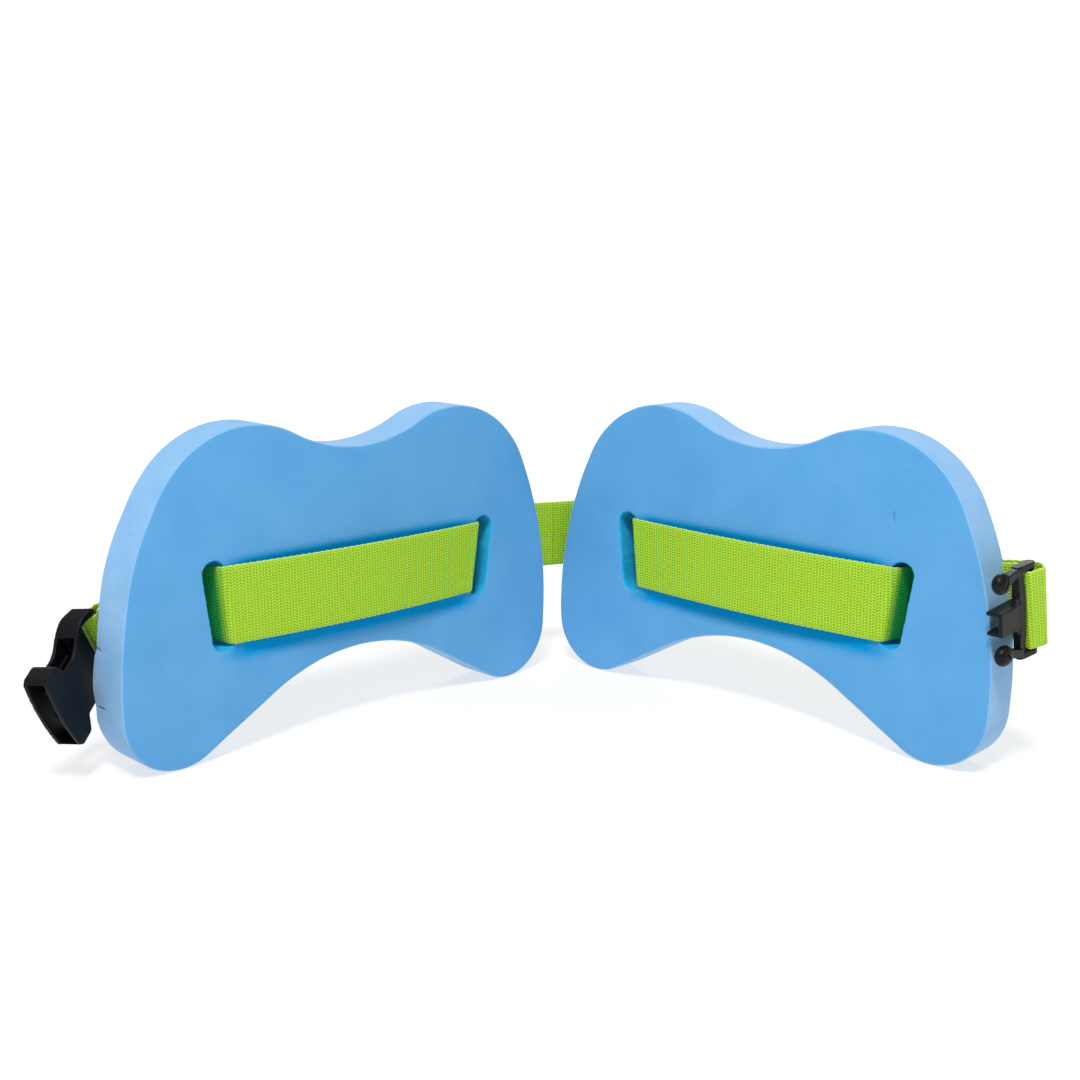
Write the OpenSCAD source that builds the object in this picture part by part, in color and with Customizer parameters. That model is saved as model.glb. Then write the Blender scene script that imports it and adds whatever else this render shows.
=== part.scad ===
// Swim belt: two foam floats threaded on one webbing waist strap with a side-release buckle.
// Millimetres. Z is up from the floor, the inner faces of the floats look towards -Y.

/* [Floats] */
// Height of the centre of each upper lobe above the floor
lobe_height = 101.2; // [98:0.2:104]
// Distance of each upper lobe from the middle of a float
lobe_offset = 63.4; // [60:0.2:67]
// Radius of each upper lobe
lobe_radius = 55.6; // [53:0.2:58]
// Distance of each foot from the middle of a float
foot_offset = 104.8; // [102:0.2:107]
// Radius of each rounded foot
foot_radius = 28.8; // [27:0.2:31]
// Radius of the long curve down each end of a float
flank_radius = 198; // [180:2:230]
// Radius of the dip between the upper lobes
dip_radius = 84; // [75:1:95]
// Radius of the arch between the feet
arch_radius = 107.5; // [100:0.5:115]
// Straight run between each foot and the arch
arch_run = 6.5; // [2:0.5:9]
// Thickness of the foam
foam_thickness = 22.5; // [21:0.5:24]

/* [Slots] */
// Distance of each webbing slot from the middle of a float
slot_offset = 82.5; // [82:0.5:84]
// Height of the middle of the slots above the floor
slot_height = 73.7; // [72:0.1:75]
// Length of a slot
slot_length = 44; // [43:0.5:48]
// Width of a slot
slot_width = 12; // [11.6:0.1:12.6]
// Outward lean of the slot tops, in degrees
slot_lean = 7.6; // [6:0.2:9]

/* [Webbing] */
// Width of the webbing
webbing_width = 38; // [36:0.5:38.5]
// Thickness of the webbing
webbing_thickness = 1.4; // [1.1:0.1:1.5]
// How far the webbing stands off each float between its slots
webbing_bow = 4; // [1:0.5:6]
// Straight webbing between the two floats
bridge_span = 45.5; // [44:0.5:50]
// Length of the loose adjusting end
tail_length = 170; // [120:5:180]
// Downward slope of the loose end, in degrees
tail_droop = 10; // [4:1:11]

/* [Layout] */
// Angle of the left float from the X axis, in degrees
left_turn = 46.4; // [44:0.2:48]
// Angle of the right float from the X axis, in degrees
right_turn = 42.6; // [41:0.2:44]
// Angle of the webbing between the floats from the X axis, in degrees
bridge_turn = 23.4; // [15:0.2:26]
// Height of the middle of the plug half above the floor
plug_height = 81.6; // [80:0.2:82.4]
// Lean of the plug half and its webbing towards the float, in degrees
end_lean = 1.3; // [0:0.1:3]
// Forward tilt of the top of the plug half, in degrees
end_tilt = 10; // [8:0.5:11]
// Turn of the plug half towards the inside of the belt, in degrees
end_turn = 7.5; // [5:0.5:9]

/* [Buckle] */
// Outside width of the buckle frames
buckle_width = 46; // [45:0.5:48]
// Width of the mouth of the socket half
mouth_width = 41; // [39:0.5:43]
// Thickness of the socket half
socket_thickness = 12; // [11:0.5:13]
// Length of the socket half from its bar to its mouth
socket_length = 44; // [42:1:50]
// Wall thickness of the socket half
socket_wall = 1.8; // [1.6:0.1:2.2]
// Width of the socket half at its narrow neck
neck_width = 27; // [26:0.5:29]
// Length of the collar round the mouth of the socket half
collar_length = 11; // [10:0.5:13]
// How far the rim of the mouth curves out at its middle
mouth_bow = 2; // [1:0.2:3]
// How far the body of the socket half bows away from its bar
socket_sink = 3; // [2.5:0.1:3.5]
// Reach of the central guide of the plug half from its webbing bar
guide_reach = 25; // [23:0.5:28]
// Height of the central guide
guide_height = 11.5; // [9:0.5:12.5]
// Depth of the central guide
guide_depth = 8; // [7:0.5:8]
// Distance of each sprung arm's head from the middle of the plug
arm_offset = 17; // [16:0.5:18]

/* [Hidden] */
$fn = 64;
foam = [0.36, 0.63, 0.86];
lime = [0.62, 0.80, 0.20];
black = [0.05, 0.05, 0.06];
thread_colour = [0.66, 0.82, 0.26];

half_web = webbing_width / 2;
half_skin = webbing_thickness / 2;
clearance = 0.3;
// Middle of the webbing where it lies along the front and back faces
front_lie = -half_skin - clearance;
back_lie = foam_thickness + half_skin + clearance;

// Outline of a float: centre points of the arcs
lobe = [lobe_offset, lobe_height];
foot = [foot_offset, foot_radius];
reach = norm(foot - lobe);
along = (foot - lobe) / reach;
split = (pow(flank_radius - lobe_radius, 2) - pow(flank_radius - foot_radius, 2) + reach * reach)
  / (2 * reach);
drop = sqrt(pow(flank_radius - lobe_radius, 2) - split * split);
flank = lobe + along * split + [along[1], -along[0]] * drop;
dip = [0, lobe_height + sqrt(pow(dip_radius + lobe_radius, 2) - lobe_offset * lobe_offset)];
arch = [0, foot_radius - sqrt(pow(arch_radius + foot_radius + arch_run, 2) - foot_offset * foot_offset)];

function bearing(v) = atan2(v[1], v[0]);
function turn(v, a) = [v[0] * cos(a) - v[1] * sin(a), v[0] * sin(a) + v[1] * cos(a)];
function sweep(c, r, a, b, n) = [for (i = [0:n]) c + r * [cos(a + (b - a) * i / n), sin(a + (b - a) * i / n)]];
// Direction from the arch centre to where the straight run leaves the arch
arch_from = bearing(foot - arch) + acos((arch_radius + foot_radius) / norm(foot - arch));
function half_outline() = concat(
  sweep(dip, dip_radius, -90, bearing(lobe - dip), 10),
  sweep(lobe, lobe_radius, bearing(dip - lobe), bearing(lobe - flank), 26),
  sweep(flank, flank_radius, bearing(lobe - flank), bearing(foot - flank), 14),
  sweep(foot, foot_radius, bearing(foot - flank), arch_from - 180, 26),
  sweep(arch, arch_radius, arch_from, 90, 14)
);
function mirrored(p) = [for (i = [len(p) - 1:-1:0]) [-p[i][0], p[i][1]]];

// Half width of a float at a height above the floor, on its long end curve
function side_at(z) = flank[0] + sqrt(flank_radius * flank_radius - pow(z - flank[1], 2));
// Upright edge line of the webbing's bend round the end of a float
edge_reach = side_at(slot_height - half_web) + 1;

function unit(v) = v / norm(v);
// Points of a rounded corner at p between the directions of a and b
function corner(a, p, b, r, n) =
  let (
    u = unit(a - p),
    v = unit(b - p),
    half = acos(u * v) / 2,
    c = p + unit(u + v) * r / sin(half),
    s = p + u * r / tan(half) - c,
    way = (u[0] * v[1] - u[1] * v[0]) > 0 ? -1 : 1
  ) [for (i = [0:n]) c + turn(s, way * (180 - 2 * half) * i / n)];
function rounded(p, r, n) = concat(
  [p[0]],
  [for (i = [1:len(p) - 2]) each corner(p[i - 1], p[i], p[i + 1], r, n)],
  [p[len(p) - 1]]
);
function heading(p, i) = i == 0 ? unit(p[1] - p[0])
  : i == len(p) - 1 ? unit(p[i] - p[i - 1])
  : unit(unit(p[i + 1] - p[i]) + unit(p[i] - p[i - 1]));
function beside(p, d) = [for (i = [0:len(p) - 1]) p[i] + turn(heading(p, i), 90) * d];
function reversed(p) = [for (i = [len(p) - 1:-1:0]) p[i]];
function ribbon(p, t) = concat(beside(p, t / 2), reversed(beside(p, -t / 2)));

// Where the pieces stand. Both floats hang from the ends of the bridge.
bridge_right = [cos(bridge_turn), sin(bridge_turn)] * bridge_span / 2;
bridge_left = -bridge_right;
shift = [-1.9, 111.65, 0];

// Webbing bend at the outer end of the right float, and the plug's bar measured from it
right_end_from = edge_reach - 1.5;
plug_bar = [8.3, foam_thickness - 2.9];
// The socket half hangs off the outer end of the left float
socket_bar = [-edge_reach + 10.2, foam_thickness + 13.2, 55.4];
socket_heading = 213;
socket_dip = 28.6;
socket_twist = 6.5;
strap_swing = -47;
// Hinge of the left webbing end, behind the left float
left_end_from = [-edge_reach + 23, back_lie + 0.4, 65.5];
left_run = socket_bar - left_end_from;
left_end_heading = atan2(left_run[1], left_run[0]);
left_end_dip = -asin(left_run[2] / norm(left_run));
left_end_twist = -24.8;
// Lean of that hinge line in the plane of the float
left_end_lean = 38.3;

// Left float: turned to the line between the floats, its inner back edge at the bridge
module on_left() {
  translate(shift) translate([bridge_left[0], bridge_left[1], 0]) rotate([0, 0, left_turn])
    translate([-edge_reach, -back_lie, 0]) children();
}

module on_right() {
  translate(shift) translate([bridge_right[0], bridge_right[1], 0]) rotate([0, 0, -right_turn])
    translate([edge_reach, -back_lie, 0]) children();
}

// Turns a profile drawn in the plane of a float upright
module upright(depth) {
  translate([0, depth, 0]) rotate([90, 0, 0]) linear_extrude(depth) children();
}

module slot_shape() {
  straight = slot_length / 2 - slot_width / 2;
  polygon(concat(
    sweep([0, straight], slot_width / 2, 0, 180, 16),
    sweep([0, -straight], slot_width / 2, 180, 360, 16)
  ));
}

module float_body() {
  color(foam) difference() {
    upright(foam_thickness) polygon(concat(half_outline(), mirrored(half_outline())));
    for (side = [-1, 1]) {
      translate([side * slot_offset, -1, slot_height]) rotate([0, side * slot_lean, 0])
        upright(foam_thickness + 2) slot_shape();
    }
  }
}

// Webbing between the slots, on the inner face, for one float
panel_reach = slot_offset - 8.5;
module front_panel() {
  rise = webbing_bow;
  sag_radius = (panel_reach * panel_reach + rise * rise) / (2 * rise);
  half_angle = asin(panel_reach / sag_radius);
  path = sweep([0, front_lie - rise + sag_radius], sag_radius, -90 - half_angle, -90 + half_angle, 20);
  lean = tan(slot_lean) * half_web;
  color(lime) intersection() {
    translate([0, 0, slot_height - half_web]) linear_extrude(webbing_width)
      polygon(ribbon(concat([path[0] - [6, 0]], path, [path[20] + [6, 0]]), webbing_thickness));
    translate([0, -20, 0]) upright(40) polygon([
      [-panel_reach + 0.05 + lean, slot_height - half_web - 1],
      [panel_reach - 0.05 - lean, slot_height - half_web - 1],
      [panel_reach - 0.05 + lean, slot_height + half_web + 1],
      [-panel_reach + 0.05 - lean, slot_height + half_web + 1]
    ]);
  }
}

// Webbing through one slot, from the end of the front panel to the back face; side is 1 for +X
module slot_pass(side) {
  path = [
    [-8.5, front_lie],
    [-4.6, front_lie],
    [4.6, back_lie],
    [9, back_lie]
  ];
  translate([side * slot_offset, 0, slot_height]) rotate([0, side * slot_lean, 0])
    translate([0, 0, -half_web]) linear_extrude(webbing_width)
    polygon(ribbon([for (q = rounded(path, 2, 6)) [side * q[0], q[1]]], webbing_thickness));
}

// Flat webbing on the back face from a slot to the end of the float; rise and lean shift its far end
module back_run(side, stop, rise, tip) {
  lean = tan(slot_lean) * half_web;
  from = slot_offset + 8.5;
  translate([0, back_lie - half_skin, 0]) upright(webbing_thickness) polygon([
    [side * (from - lean), slot_height - half_web],
    [side * (stop + tip), slot_height - half_web + rise],
    [side * (stop - tip), slot_height + half_web + rise],
    [side * (from + lean), slot_height + half_web]
  ]);
}

module edge_webbing(side, stop, rise, tip) {
  color(lime) union() {
    slot_pass(side);
    back_run(side, stop - half_skin - 0.3, rise, tip);
  }
}

module webbing_bridge() {
  color(lime) translate(shift) rotate([0, 0, bridge_turn]) translate([0, 0, slot_height - half_web]) union() {
    translate([-bridge_span / 2, -half_skin, 0]) cube([bridge_span, webbing_thickness, webbing_width]);
    for (side = [-1, 1]) translate([side * bridge_span / 2, 0, 0]) cylinder(webbing_width, r = half_skin);
  }
}

// Outer webbing of the left float, falling towards the socket half
module left_outer() {
  start = [-slot_offset - 6, slot_height];
  stop = [left_end_from[0], left_end_from[2]];
  way = unit(stop - start);
  fold = turn([0, 1], left_end_lean);
  across = fold * half_web / (fold * turn(way, -90));
  tip = stop - way * (half_skin + 0.5);
  lean = turn([0, half_web], slot_lean);
  color(lime) union() {
    slot_pass(-1);
    translate([0, back_lie - half_skin, 0]) upright(webbing_thickness) polygon([
      start + lean,
      start - lean,
      tip - across,
      tip + across
    ]);
  }
}

module at_left_end() {
  on_left() translate(left_end_from) rotate([0, 0, left_end_heading]) rotate([0, left_end_dip, 0])
    rotate([left_end_twist, 0, 0]) children();
}

module webbing_left_end() {
  color(lime) at_left_end() union() {
    translate([0, -half_skin, -half_web]) cube([norm(left_run) - 14, webbing_thickness, webbing_width]);
    translate([0, 0, -half_web]) cylinder(webbing_width, r = half_skin);
  }
}

module at_socket() {
  on_left() translate(socket_bar) rotate([0, 0, socket_heading]) rotate([0, socket_dip, 0])
    rotate([socket_twist, 0, 0]) children();
}

// Sewn loop round the socket's bar
module webbing_left_loop() {
  path = rounded([
    [11, -0.75],
    [5.2, -3.2],
    [-3.2, -3.2],
    [-3.2, 3.2],
    [5.2, 3.2],
    [11, 0.75]
  ], 3.1, 8);
  color(lime) at_socket() rotate([0, 0, 180 + strap_swing]) translate([0, 0, -half_web])
    linear_extrude(webbing_width) polygon(ribbon(path, webbing_thickness));
}

module left_loop_stitching() {
  color(thread_colour) at_left_end() for (side = [-1, 1]) {
    for (x = [1.6, 4.4]) {
      translate([x, side * (half_skin + 0.3), 0]) cube([0.8, 0.5, webbing_width - 6], center = true);
    }
  }
}

// Right end, drawn from the upright bend at the end of the float
module at_right_end() {
  on_right() translate([right_end_from, back_lie, plug_height]) rotate([0, 0, -end_turn])
    rotate([end_tilt, 0, 0]) rotate([0, -end_lean, 0]) translate([0, -back_lie, 0]) children();
}

// The loaded webbing passes inside the plug's bar and out through its slot
slot_lie = plug_bar[1] - 3.8;
end_path = [
  [0, back_lie],
  [plug_bar[0] - 4, back_lie - 2],
  [plug_bar[0] - 4, slot_lie],
  [plug_bar[0] + 0.5, slot_lie]
];

module webbing_right_end() {
  color(lime) at_right_end() translate([0, 0, -half_web]) union() {
    linear_extrude(webbing_width) polygon(ribbon(rounded(end_path, 1.8, 6), webbing_thickness));
    translate([0, back_lie, 0]) cylinder(webbing_width, r = half_skin);
  }
}

// The loose end comes round the outside of the bar and folds back behind the float
tail_lie = back_lie + 5.6;
tail_from = [0.3, tail_lie];
turn_path = [
  [plug_bar[0] + 0.55, slot_lie],
  [plug_bar[0] + 2.2, slot_lie],
  [plug_bar[0] + 5.8, back_lie + 1],
  [plug_bar[0] + 0.5, tail_lie],
  [tail_from[0] + 3.7, tail_lie]
];

module webbing_tail_turn() {
  color(lime) at_right_end() translate([0, 0, -half_web]) linear_extrude(webbing_width)
    polygon(ribbon(rounded(turn_path, 2.2, 6), webbing_thickness));
}

module at_tail() {
  on_right() translate([right_end_from + tail_from[0], tail_from[1], plug_height]) rotate([0, 0, 180])
    rotate([0, tail_droop, 0]) children();
}

module webbing_tail() {
  color(lime) at_tail() translate([0, 0, -half_web]) union() {
    translate([0, -half_skin, 0]) cube([tail_length, webbing_thickness, webbing_width]);
    cylinder(webbing_width, r = half_skin);
  }
}

// The end of the tail is turned over twice and sewn
module tail_hem() {
  color(lime) at_tail() translate([tail_length - 22, -half_skin - webbing_thickness - 0.1, -half_web])
    cube([22, webbing_thickness, webbing_width]);
}

module tail_hem_stitching() {
  color(thread_colour) at_tail() for (x = [tail_length - 19, tail_length - 5]) {
    translate([x, -half_skin - webbing_thickness - 0.35, 0]) cube([0.8, 0.5, webbing_width - 6], center = true);
  }
}

// Socket half: X towards its mouth, Z along its bar. Its sides pull in to a neck behind the collar.
neck_from = 4;
neck_to = 24;
function neck_side(x) = neck_width / 2
  + (buckle_width - neck_width) / 4 * (1 + cos(180 * (x - neck_from) / (neck_to - neck_from)));
function mirrored_up(p) = concat(p, [for (i = [len(p) - 1:-1:0]) [p[i][0], -p[i][1]]]);

module socket_plan() {
  w = buckle_width / 2;
  m = mouth_width / 2;
  collar = socket_length - collar_length;
  polygon(mirrored_up(concat(
    [[-3.4, w - 3], [-0.4, w]],
    [for (x = [neck_from:2:neck_to]) [x, neck_side(x)]],
    [
      [collar - 4, neck_width / 2],
      [collar - 0.4, m - 0.7],
      [collar + 1.4, m],
      [socket_length - mouth_bow - 2, m]
    ],
    [for (z = [m - 2:-3:1]) [socket_length - mouth_bow * z * z / (m * m), z]]
  )));
}

// Side view of the socket half, bowed away from the bar at the origin
module socket_profile(t) {
  translate([0, -socket_sink]) polygon([
    [-4, 0.6],
    [-1.5, -1.8],
    [3, -3.4],
    [8, 1 - t],
    [14, -t],
    [socket_length + 1, -t],
    [socket_length + 1, t],
    [10, t],
    [5, t + 1],
    [1.5, t + 2.2],
    [-1.5, t + 2.2],
    [-4, t]
  ]);
}

module buckle_socket() {
  half = socket_thickness / 2;
  inner = half - socket_wall;
  opening = webbing_width + 1.6;
  deep = 2 * half + 14;
  throat = mouth_width / 2 - socket_wall;
  cavity_from = 10.5;
  color(black) at_socket() difference() {
    intersection() {
      translate([0, deep / 2, 0]) rotate([90, 0, 0]) linear_extrude(deep) socket_plan();
      translate([0, 0, -buckle_width]) linear_extrude(2 * buckle_width) socket_profile(half);
    }
    // Webbing openings each side of the bar
    translate([2.4, -deep / 2, -opening / 2]) cube([6, deep, opening]);
    translate([-6, -deep / 2, -opening / 2]) cube([3.8, deep, opening]);
    translate([0, 0, -opening / 2]) linear_extrude(opening) difference() {
      square([5.2, deep], center = true);
      circle(2.2);
    }
    // Space for the plug, open at the mouth and at both sides of the neck
    translate([0, inner - socket_sink, 0]) rotate([90, 0, 0]) linear_extrude(2 * inner)
      polygon(mirrored_up([
        [cavity_from, throat - 4.7],
        [cavity_from + 3.5, throat],
        [socket_length + 1, throat]
      ]));
  }
}

// Plug half: X towards its tip, Y away from the float, Z along its bar
module at_plug() {
  at_right_end() translate([plug_bar[0], plug_bar[1], 0]) rotate([0, 0, -90]) children();
}

module buckle_plug() {
  inner = half_web + 0.7;
  outer = buckle_width / 2;
  color(black) at_plug() union() {
    translate([0, 0, -outer + 1]) cylinder(buckle_width - 2, r = 2.1);
    for (side = [-1, 1]) {
      translate([4.1, 0, side * (inner + outer) / 2]) cube([12.2, 5.4, outer - inner], center = true);
    }
    // Cross bar that carries the guide and the arms
    translate([5.6, -2.7, -outer]) cube([4.6, 5.4, buckle_width]);
    // Central guide: a channel open towards the float
    translate([5.6, -0.4, -guide_height / 2]) cube([guide_reach - 5.6, 2, guide_height]);
    for (side = [-1, 1]) {
      translate([5.6, 1.6 - guide_depth, side * (guide_height / 2 - 0.9) - 0.9])
        cube([guide_reach - 5.6, guide_depth - 1, 1.8]);
    }
  }
}

// One sprung arm with its barbed head, pointing up; the root is at the cross bar
module plug_arm() {
  thick = 2.7;
  translate([0, thick, 0]) rotate([90, 0, 0]) linear_extrude(2 * thick) polygon(concat(
    [[10.5, arm_offset - 5.6], [10.5, arm_offset - 2.8], [18.5, arm_offset - 0.6], [17.6, arm_offset + 4.6]],
    sweep([22.2, arm_offset + 0.2], 4.6, 75, -100, 12),
    [[18.6, arm_offset - 3.6]]
  ));
}

module plug_upper_arm() {
  color(black) at_plug() plug_arm();
}

module plug_lower_arm() {
  color(black) at_plug() mirror([0, 0, 1]) plug_arm();
}

on_left() float_body();  // left_float
on_right() float_body();  // right_float
on_left() front_panel();  // webbing_left_front
on_left() edge_webbing(1, edge_reach, 0, 0);  // webbing_left_inner
on_left() left_outer();  // webbing_left_outer
webbing_left_end();
webbing_left_loop();
left_loop_stitching();
webbing_bridge();
on_right() front_panel();  // webbing_right_front
on_right() edge_webbing(-1, edge_reach, 0, 0);  // webbing_right_inner
on_right() edge_webbing(1, right_end_from,  // webbing_right_outer
  plug_height - slot_height, half_web * tan(end_lean));
webbing_right_end();
webbing_tail_turn();
webbing_tail();
tail_hem();
tail_hem_stitching();
buckle_socket();
buckle_plug();
plug_upper_arm();
plug_lower_arm();
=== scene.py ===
import math

import bmesh
import bpy
from mathutils import Matrix, Vector, noise
from mathutils.geometry import delaunay_2d_cdt


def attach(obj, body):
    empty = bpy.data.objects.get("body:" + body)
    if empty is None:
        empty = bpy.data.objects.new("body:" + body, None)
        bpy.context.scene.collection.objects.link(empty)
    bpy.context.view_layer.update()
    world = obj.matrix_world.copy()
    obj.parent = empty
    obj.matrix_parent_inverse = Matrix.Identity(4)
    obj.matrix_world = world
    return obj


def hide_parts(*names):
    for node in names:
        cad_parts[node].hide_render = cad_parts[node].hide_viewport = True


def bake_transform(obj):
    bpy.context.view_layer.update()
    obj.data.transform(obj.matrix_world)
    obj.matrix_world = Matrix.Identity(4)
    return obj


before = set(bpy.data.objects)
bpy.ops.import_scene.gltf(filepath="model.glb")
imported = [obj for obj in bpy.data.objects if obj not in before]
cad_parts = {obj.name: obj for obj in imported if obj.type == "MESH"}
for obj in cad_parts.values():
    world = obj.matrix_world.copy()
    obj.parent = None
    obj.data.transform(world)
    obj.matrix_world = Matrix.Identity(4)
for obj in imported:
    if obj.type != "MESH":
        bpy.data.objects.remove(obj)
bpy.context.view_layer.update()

# ---------------------------------------------------------------- dimensions of the part, in millimetres
MM = 0.001
LOBE_HEIGHT, LOBE_OFFSET, LOBE_RADIUS = 101.2, 63.4, 55.6
FOOT_OFFSET, FOOT_RADIUS, FLANK_RADIUS = 104.8, 28.8, 198
DIP_RADIUS, ARCH_RADIUS, ARCH_RUN = 84, 107.5, 6.5
FOAM = 22.5
SLOT_OFFSET, SLOT_HEIGHT, SLOT_LENGTH, SLOT_WIDTH, SLOT_LEAN = 82.5, 73.7, 44, 12, 7.6
WEB, SKIN, BOW = 38, 1.4, 4
BRIDGE_SPAN, TAIL_LENGTH, TAIL_DROOP = 45.5, 170, 10
LEFT_TURN, RIGHT_TURN, BRIDGE_TURN = 46.4, 42.6, 23.4
PLUG_HEIGHT, END_LEAN, END_TILT, END_TURN = 81.6, 1.3, 10, 7.5
BUCKLE, MOUTH, SOCKET_THICK, SOCKET_LENGTH, WALL = 46, 41, 12, 45.6, 1.8
NECK, COLLAR, SINK, MOUTH_BOW = 27, 12, 3, 2
GUIDE_REACH, GUIDE_HEIGHT, GUIDE_DEPTH, GUIDE_SHIFT, ARM_OFFSET = 25, 11.5, 8, -0.8, 17
HALF_WEB = WEB / 2
FRONT_LIE = -SKIN / 2 - 0.3
BACK_LIE = FOAM + SKIN / 2 + 0.3
FOLD_GAP = 1.5
WAVE_ALONG, WAVE_ACROSS = 3.42 * MM, 1.45 * MM


# ---------------------------------------------------------------- frames
def shift_by(x, y, z):
    return Matrix.Translation((x, y, z))


def about(axis, degrees):
    return Matrix.Rotation(math.radians(degrees), 4, axis)


lobe = Vector((LOBE_OFFSET, LOBE_HEIGHT))
foot = Vector((FOOT_OFFSET, FOOT_RADIUS))
reach = (foot - lobe).length
along = (foot - lobe) / reach
to_lobe, to_foot = FLANK_RADIUS - LOBE_RADIUS, FLANK_RADIUS - FOOT_RADIUS
split = (to_lobe ** 2 - to_foot ** 2 + reach ** 2) / (2 * reach)
drop = math.sqrt(to_lobe ** 2 - split ** 2)
flank = lobe + along * split + Vector((along.y, -along.x)) * drop
dip = Vector((0, LOBE_HEIGHT + math.sqrt((DIP_RADIUS + LOBE_RADIUS) ** 2 - LOBE_OFFSET ** 2)))
arch = Vector((0, FOOT_RADIUS - math.sqrt((ARCH_RADIUS + FOOT_RADIUS + ARCH_RUN) ** 2 - FOOT_OFFSET ** 2)))
EDGE = flank.x + math.sqrt(FLANK_RADIUS ** 2 - (SLOT_HEIGHT - HALF_WEB - flank.y) ** 2) + 1

bridge_way = Vector((math.cos(math.radians(BRIDGE_TURN)), math.sin(math.radians(BRIDGE_TURN)), 0))
bridge_right = bridge_way * BRIDGE_SPAN / 2
bridge_left = -bridge_right
stand = shift_by(-1.9, 111.65, 0)
on_left = stand @ shift_by(*bridge_left) @ about("Z", LEFT_TURN) @ shift_by(-EDGE, -BACK_LIE, 0)
on_right = stand @ shift_by(*bridge_right) @ about("Z", -RIGHT_TURN) @ shift_by(EDGE, -BACK_LIE, 0)

socket_bar = Vector((-EDGE + 10.2, FOAM + 13.2, 55.4))
left_end_from = Vector((-EDGE + 23, BACK_LIE + 0.4, 65.5))
left_run = socket_bar - left_end_from
left_end_turn = math.degrees(math.atan2(left_run.y, left_run.x))
left_end_rise = math.degrees(math.asin(left_run.z / left_run.length))
at_left_end = (on_left @ shift_by(*left_end_from) @ about("Z", left_end_turn) @ about("Y", -left_end_rise)
               @ about("X", -24.8))
at_socket = on_left @ shift_by(*socket_bar) @ about("Z", 213) @ about("Y", 28.6) @ about("X", 6.5)
at_loop = at_socket @ about("Z", 180 - 47)
PLUG_BAR = (8.3, FOAM - 2.9)
SLOT_LIE = PLUG_BAR[1] - 3.8
TAIL_LIE = BACK_LIE + 5.6
at_right_end = (on_right @ shift_by(EDGE - 1.5, BACK_LIE, PLUG_HEIGHT) @ about("Z", -END_TURN)
                @ about("X", END_TILT) @ about("Y", -END_LEAN) @ shift_by(0, -BACK_LIE, 0))
at_plug = at_right_end @ shift_by(PLUG_BAR[0], PLUG_BAR[1], 0) @ about("Z", -90)
at_tail = on_right @ shift_by(EDGE - 1.2, TAIL_LIE, PLUG_HEIGHT) @ about("Z", 180) @ about("Y", TAIL_DROOP)


# ---------------------------------------------------------------- materials
class Nodes:
    """Short names for building one material's node tree."""

    def __init__(self, name):
        self.material = bpy.data.materials.new(name)
        self.material.use_nodes = True
        self.tree = self.material.node_tree
        self.shader = self.tree.nodes["Principled BSDF"]
        self.coords = self.tree.nodes.new("ShaderNodeTexCoord")

    def add(self, kind, **settings):
        node = self.tree.nodes.new(kind)
        for key, value in settings.items():
            setattr(node, key, value)
        return node

    def feed(self, socket, value):
        if isinstance(value, bpy.types.NodeSocket):
            self.tree.links.new(value, socket)
        else:
            socket.default_value = value

    def math(self, operation, a, b=0.0, c=0.0):
        node = self.add("ShaderNodeMath", operation=operation)
        for socket, value in zip(node.inputs, (a, b, c)):
            self.feed(socket, value)
        return node.outputs[0]

    def scaled(self, source, scale):
        node = self.add("ShaderNodeMapping")
        self.feed(node.inputs["Vector"], source)
        node.inputs["Scale"].default_value = scale
        return node.outputs[0]

    def noise(self, source, scale, detail=2.0, rough=0.5):
        node = self.add("ShaderNodeTexNoise")
        self.feed(node.inputs["Vector"], source)
        node.inputs["Scale"].default_value = scale
        node.inputs["Detail"].default_value = detail
        node.inputs["Roughness"].default_value = rough
        return node.outputs["Fac"]

    def ramp(self, value, low, high, to_low=0.0, to_high=1.0):
        node = self.add("ShaderNodeMapRange")
        for socket, item in zip(node.inputs, (value, low, high, to_low, to_high)):
            self.feed(socket, item)
        return node.outputs[0]

    def mix(self, factor, first, second):
        node = self.add("ShaderNodeMix", data_type="RGBA")
        self.feed(node.inputs["Factor"], factor)
        self.feed(node.inputs[6], first)
        self.feed(node.inputs[7], second)
        return node.outputs[2]

    def uv_axes(self):
        node = self.add("ShaderNodeSeparateXYZ")
        self.feed(node.inputs[0], self.coords.outputs["UV"])
        return node.outputs[0], node.outputs[1]

    def bump(self, height, distance):
        node = self.add("ShaderNodeBump")
        node.inputs["Strength"].default_value = 1.0
        node.inputs["Distance"].default_value = distance
        self.feed(node.inputs["Height"], height)
        self.feed(self.shader.inputs["Normal"], node.outputs[0])


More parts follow.
